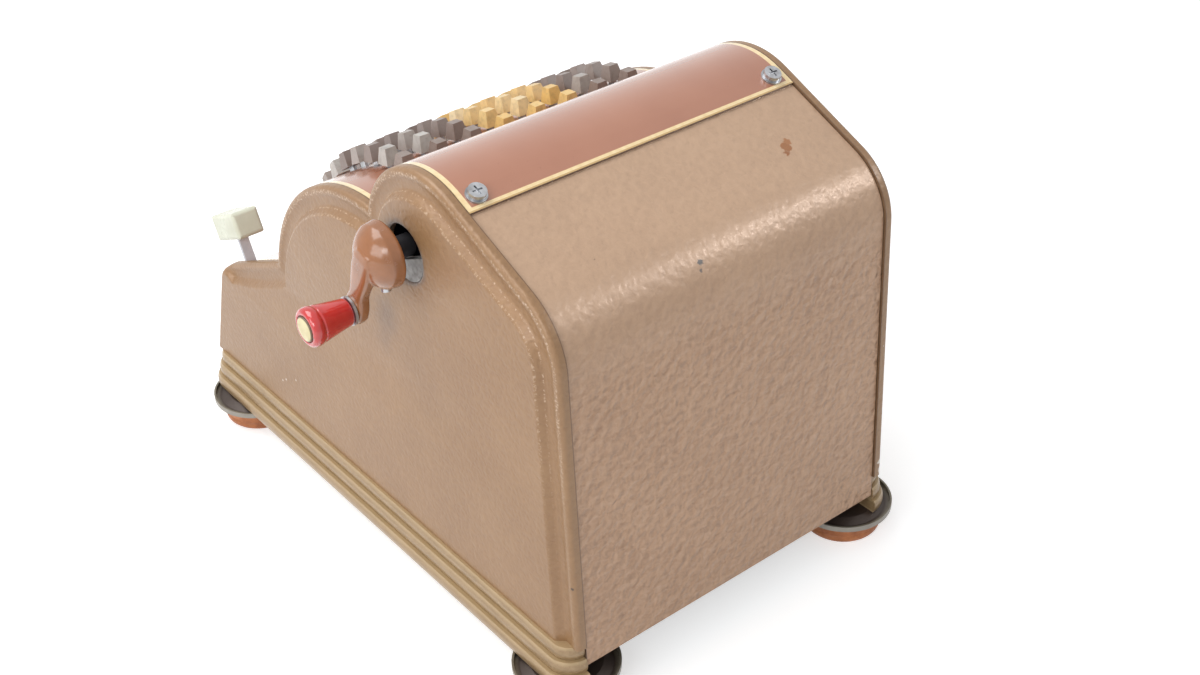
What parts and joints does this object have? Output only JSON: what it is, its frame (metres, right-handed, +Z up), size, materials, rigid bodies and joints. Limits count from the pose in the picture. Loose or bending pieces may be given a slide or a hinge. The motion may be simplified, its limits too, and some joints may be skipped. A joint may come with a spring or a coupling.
{
  "type": "adding machine",
  "caption": "Desk adding machine: humped sheet casing between thick cheeks, curved keyboard, number wheels, side crank, ribbed plinths and rubber feet.",
  "frame": {"origin": "middle of the machine's overall box, on the desk", "axes": "+Y toward the back, +X toward the crank side, +Z up"},
  "size_m": [0.2534, 0.3196, 0.2285],
  "materials": {
    "cheek_paint": "hammertone brown lacquer",
    "cover_paint": "hammertone brown lacquer",
    "plate_lacquer": "warm metallic lacquer with a bright edge",
    "plinth_bronze": "bronze hammertone lacquer",
    "base_paint": "dark satin paint",
    "cup_paint": "grey olive paint",
    "foot_rubber": "amber crepe rubber",
    "zinc": "zinc plated",
    "steel": "plain steel",
    "frame_steel": "plain rolled steel",
    "works_brass": "machined brass",
    "key_plastic": "moulded key tops, brown grey and amber columns",
    "white_plastic": "white key",
    "wheel_plastic": "white number wheels",
    "window_glass": "clear",
    "crank_enamel": "gloss orange brown enamel",
    "grip_plastic": "gloss red",
    "ivory": "ivory"
  },
  "bodies": {
    "machine": {"right_cheek": "cheek_paint", "left_cheek": "cheek_paint", "right_plinth": "plinth_bronze", "left_plinth": "plinth_bronze", "rear_cover": "cover_paint", "top_plate": "plate_lacquer", "front_cover": "cover_paint", "base_plate": "base_paint", "foot_cups": "cup_paint", "foot_rubbers": "foot_rubber", "foot_screws": "zinc", "cover_screws": "zinc", "cover_washers": "zinc", "side_frames": "frame_steel", "tie_bars": "steel", "key_guide": "frame_steel", "register_window": "window_glass", "sector_shaft": "steel", "register_shaft": "steel", "cam_stud": "steel", "crank_bush": "steel"},
    "key_row_1": {"key_caps_1": "key_plastic", "key_stems_1": "steel"},
    "key_row_2": {"key_caps_2": "key_plastic", "key_stems_2": "steel"},
    "key_row_3": {"key_caps_3": "key_plastic", "key_stems_3": "steel"},
    "key_row_4": {"key_caps_4": "key_plastic", "key_stems_4": "steel"},
    "key_row_5": {"key_caps_5": "key_plastic", "key_stems_5": "steel"},
    "key_row_6": {"key_caps_6": "key_plastic", "key_stems_6": "steel"},
    "key_row_7": {"key_caps_7": "key_plastic", "key_stems_7": "steel"},
    "key_row_8": {"key_caps_8": "key_plastic", "key_stems_8": "steel"},
    "key_row_9": {"key_caps_9": "key_plastic", "key_stems_9": "steel"},
    "clearing": {"clearing_key": "white_plastic", "clearing_stem": "steel"},
    "sectors": {"adding_sectors": "works_brass", "sector_bail": "steel"},
    "wheel_1": {"number_wheel_1": "wheel_plastic"},
    "wheel_2": {"number_wheel_2": "wheel_plastic"},
    "wheel_3": {"number_wheel_3": "wheel_plastic"},
    "wheel_4": {"number_wheel_4": "wheel_plastic"},
    "wheel_5": {"number_wheel_5": "wheel_plastic"},
    "wheel_6": {"number_wheel_6": "wheel_plastic"},
    "wheel_7": {"number_wheel_7": "wheel_plastic"},
    "wheel_8": {"number_wheel_8": "wheel_plastic"},
    "crank": {"drive_gear": "works_brass", "crankshaft": "steel", "crank_arm": "crank_enamel", "crank_pin": "zinc", "grip_spindle": "steel", "grip_ferrule": "zinc"},
    "cam": {"cam_wheel": "works_brass"},
    "grip": {"grip": "grip_plastic", "grip_cap": "ivory"}
  },
  "joints": [
    {"name": "press_key_row_1", "type": "slide", "parent": "machine", "child": "key_row_1", "axis": [0, 0.0767, -0.9971], "range_m": [0, 0.0022], "stiffness_N_per_m": 300, "springref_m": -0.004},
    {"name": "press_key_row_2", "type": "slide", "parent": "machine", "child": "key_row_2", "axis": [0, 0.219, -0.9757], "range_m": [0, 0.0022], "stiffness_N_per_m": 300, "springref_m": -0.004},
    {"name": "press_key_row_3", "type": "slide", "parent": "machine", "child": "key_row_3", "axis": [0, 0.3567, -0.9342], "range_m": [0, 0.0022], "stiffness_N_per_m": 300, "springref_m": -0.004},
    {"name": "press_key_row_4", "type": "slide", "parent": "machine", "child": "key_row_4", "axis": [0, 0.4871, -0.8733], "range_m": [0, 0.0022], "stiffness_N_per_m": 300, "springref_m": -0.004},
    {"name": "press_key_row_5", "type": "slide", "parent": "machine", "child": "key_row_5", "axis": [0, 0.6074, -0.7944], "range_m": [0, 0.0022], "stiffness_N_per_m": 300, "springref_m": -0.004},
    {"name": "press_key_row_6", "type": "slide", "parent": "machine", "child": "key_row_6", "axis": [0, 0.7151, -0.699], "range_m": [0, 0.0022], "stiffness_N_per_m": 300, "springref_m": -0.004},
    {"name": "press_key_row_7", "type": "slide", "parent": "machine", "child": "key_row_7", "axis": [0, 0.808, -0.5892], "range_m": [0, 0.0022], "stiffness_N_per_m": 300, "springref_m": -0.004},
    {"name": "press_key_row_8", "type": "slide", "parent": "machine", "child": "key_row_8", "axis": [0, 0.8842, -0.4672], "range_m": [0, 0.0022], "stiffness_N_per_m": 300, "springref_m": -0.004},
    {"name": "press_key_row_9", "type": "slide", "parent": "machine", "child": "key_row_9", "axis": [0, 0.9421, -0.3355], "range_m": [0, 0.0022], "stiffness_N_per_m": 300, "springref_m": -0.004},
    {"name": "press_clearing_key", "type": "slide", "parent": "machine", "child": "clearing", "axis": [0, 0.4384, -0.8988], "range_m": [0, 0.004], "stiffness_N_per_m": 200, "springref_m": -0.005},
    {"name": "swing_sectors", "type": "hinge", "parent": "machine", "child": "sectors", "pos_m": [-0.01572, 0.0073, 0.1086], "axis": [-1, 0, 0], "range_deg": [0, 74.25]},
    {"name": "turn_wheel_1", "type": "hinge", "parent": "machine", "child": "wheel_1", "pos_m": [-0.01572, 0.03718, 0.19475], "axis": [-1, 0, 0], "range_deg": [-325, 0]},
    {"name": "turn_wheel_2", "type": "hinge", "parent": "machine", "child": "wheel_2", "pos_m": [-0.01572, 0.03718, 0.19475], "axis": [-1, 0, 0], "range_deg": [-325, 0]},
    {"name": "turn_wheel_3", "type": "hinge", "parent": "machine", "child": "wheel_3", "pos_m": [-0.01572, 0.03718, 0.19475], "axis": [-1, 0, 0], "range_deg": [-325, 0]},
    {"name": "turn_wheel_4", "type": "hinge", "parent": "machine", "child": "wheel_4", "pos_m": [-0.01572, 0.03718, 0.19475], "axis": [-1, 0, 0], "range_deg": [-325, 0]},
    {"name": "turn_wheel_5", "type": "hinge", "parent": "machine", "child": "wheel_5", "pos_m": [-0.01572, 0.03718, 0.19475], "axis": [-1, 0, 0], "range_deg": [-325, 0]},
    {"name": "turn_wheel_6", "type": "hinge", "parent": "machine", "child": "wheel_6", "pos_m": [-0.01572, 0.03718, 0.19475], "axis": [-1, 0, 0], "range_deg": [-325, 0]},
    {"name": "turn_wheel_7", "type": "hinge", "parent": "machine", "child": "wheel_7", "pos_m": [-0.01572, 0.03718, 0.19475], "axis": [-1, 0, 0], "range_deg": [-325, 0]},
    {"name": "turn_wheel_8", "type": "hinge", "parent": "machine", "child": "wheel_8", "pos_m": [-0.01572, 0.03718, 0.19475], "axis": [-1, 0, 0], "range_deg": [-325, 0]},
    {"name": "turn_crank", "type": "hinge", "parent": "machine", "child": "crank", "pos_m": [0.07328, 0.0457, 0.191], "axis": [1, 0, 0], "continuous": true},
    {"name": "turn_cam", "type": "hinge", "parent": "machine", "child": "cam", "pos_m": [0.07328, 0.07398, 0.16272], "axis": [1, 0, 0], "continuous": true},
    {"name": "spin_grip", "type": "hinge", "parent": "crank", "child": "grip", "pos_m": [0.10422, 0.03462, 0.16301], "axis": [1, 0, 0], "continuous": true}
  ],
  "couplings": [
    {"joint": "turn_wheel_1", "follows": "swing_sectors", "ratio": -4.3636},
    {"joint": "turn_wheel_2", "follows": "swing_sectors", "ratio": -4.3636},
    {"joint": "turn_wheel_3", "follows": "swing_sectors", "ratio": -4.3636},
    {"joint": "turn_wheel_4", "follows": "swing_sectors", "ratio": -4.3636},
    {"joint": "turn_wheel_5", "follows": "swing_sectors", "ratio": -4.3636},
    {"joint": "turn_wheel_6", "follows": "swing_sectors", "ratio": -4.3636},
    {"joint": "turn_wheel_7", "follows": "swing_sectors", "ratio": -4.3636},
    {"joint": "turn_wheel_8", "follows": "swing_sectors", "ratio": -4.3636},
    {"joint": "turn_cam", "follows": "turn_crank", "ratio": -1}
  ]
}
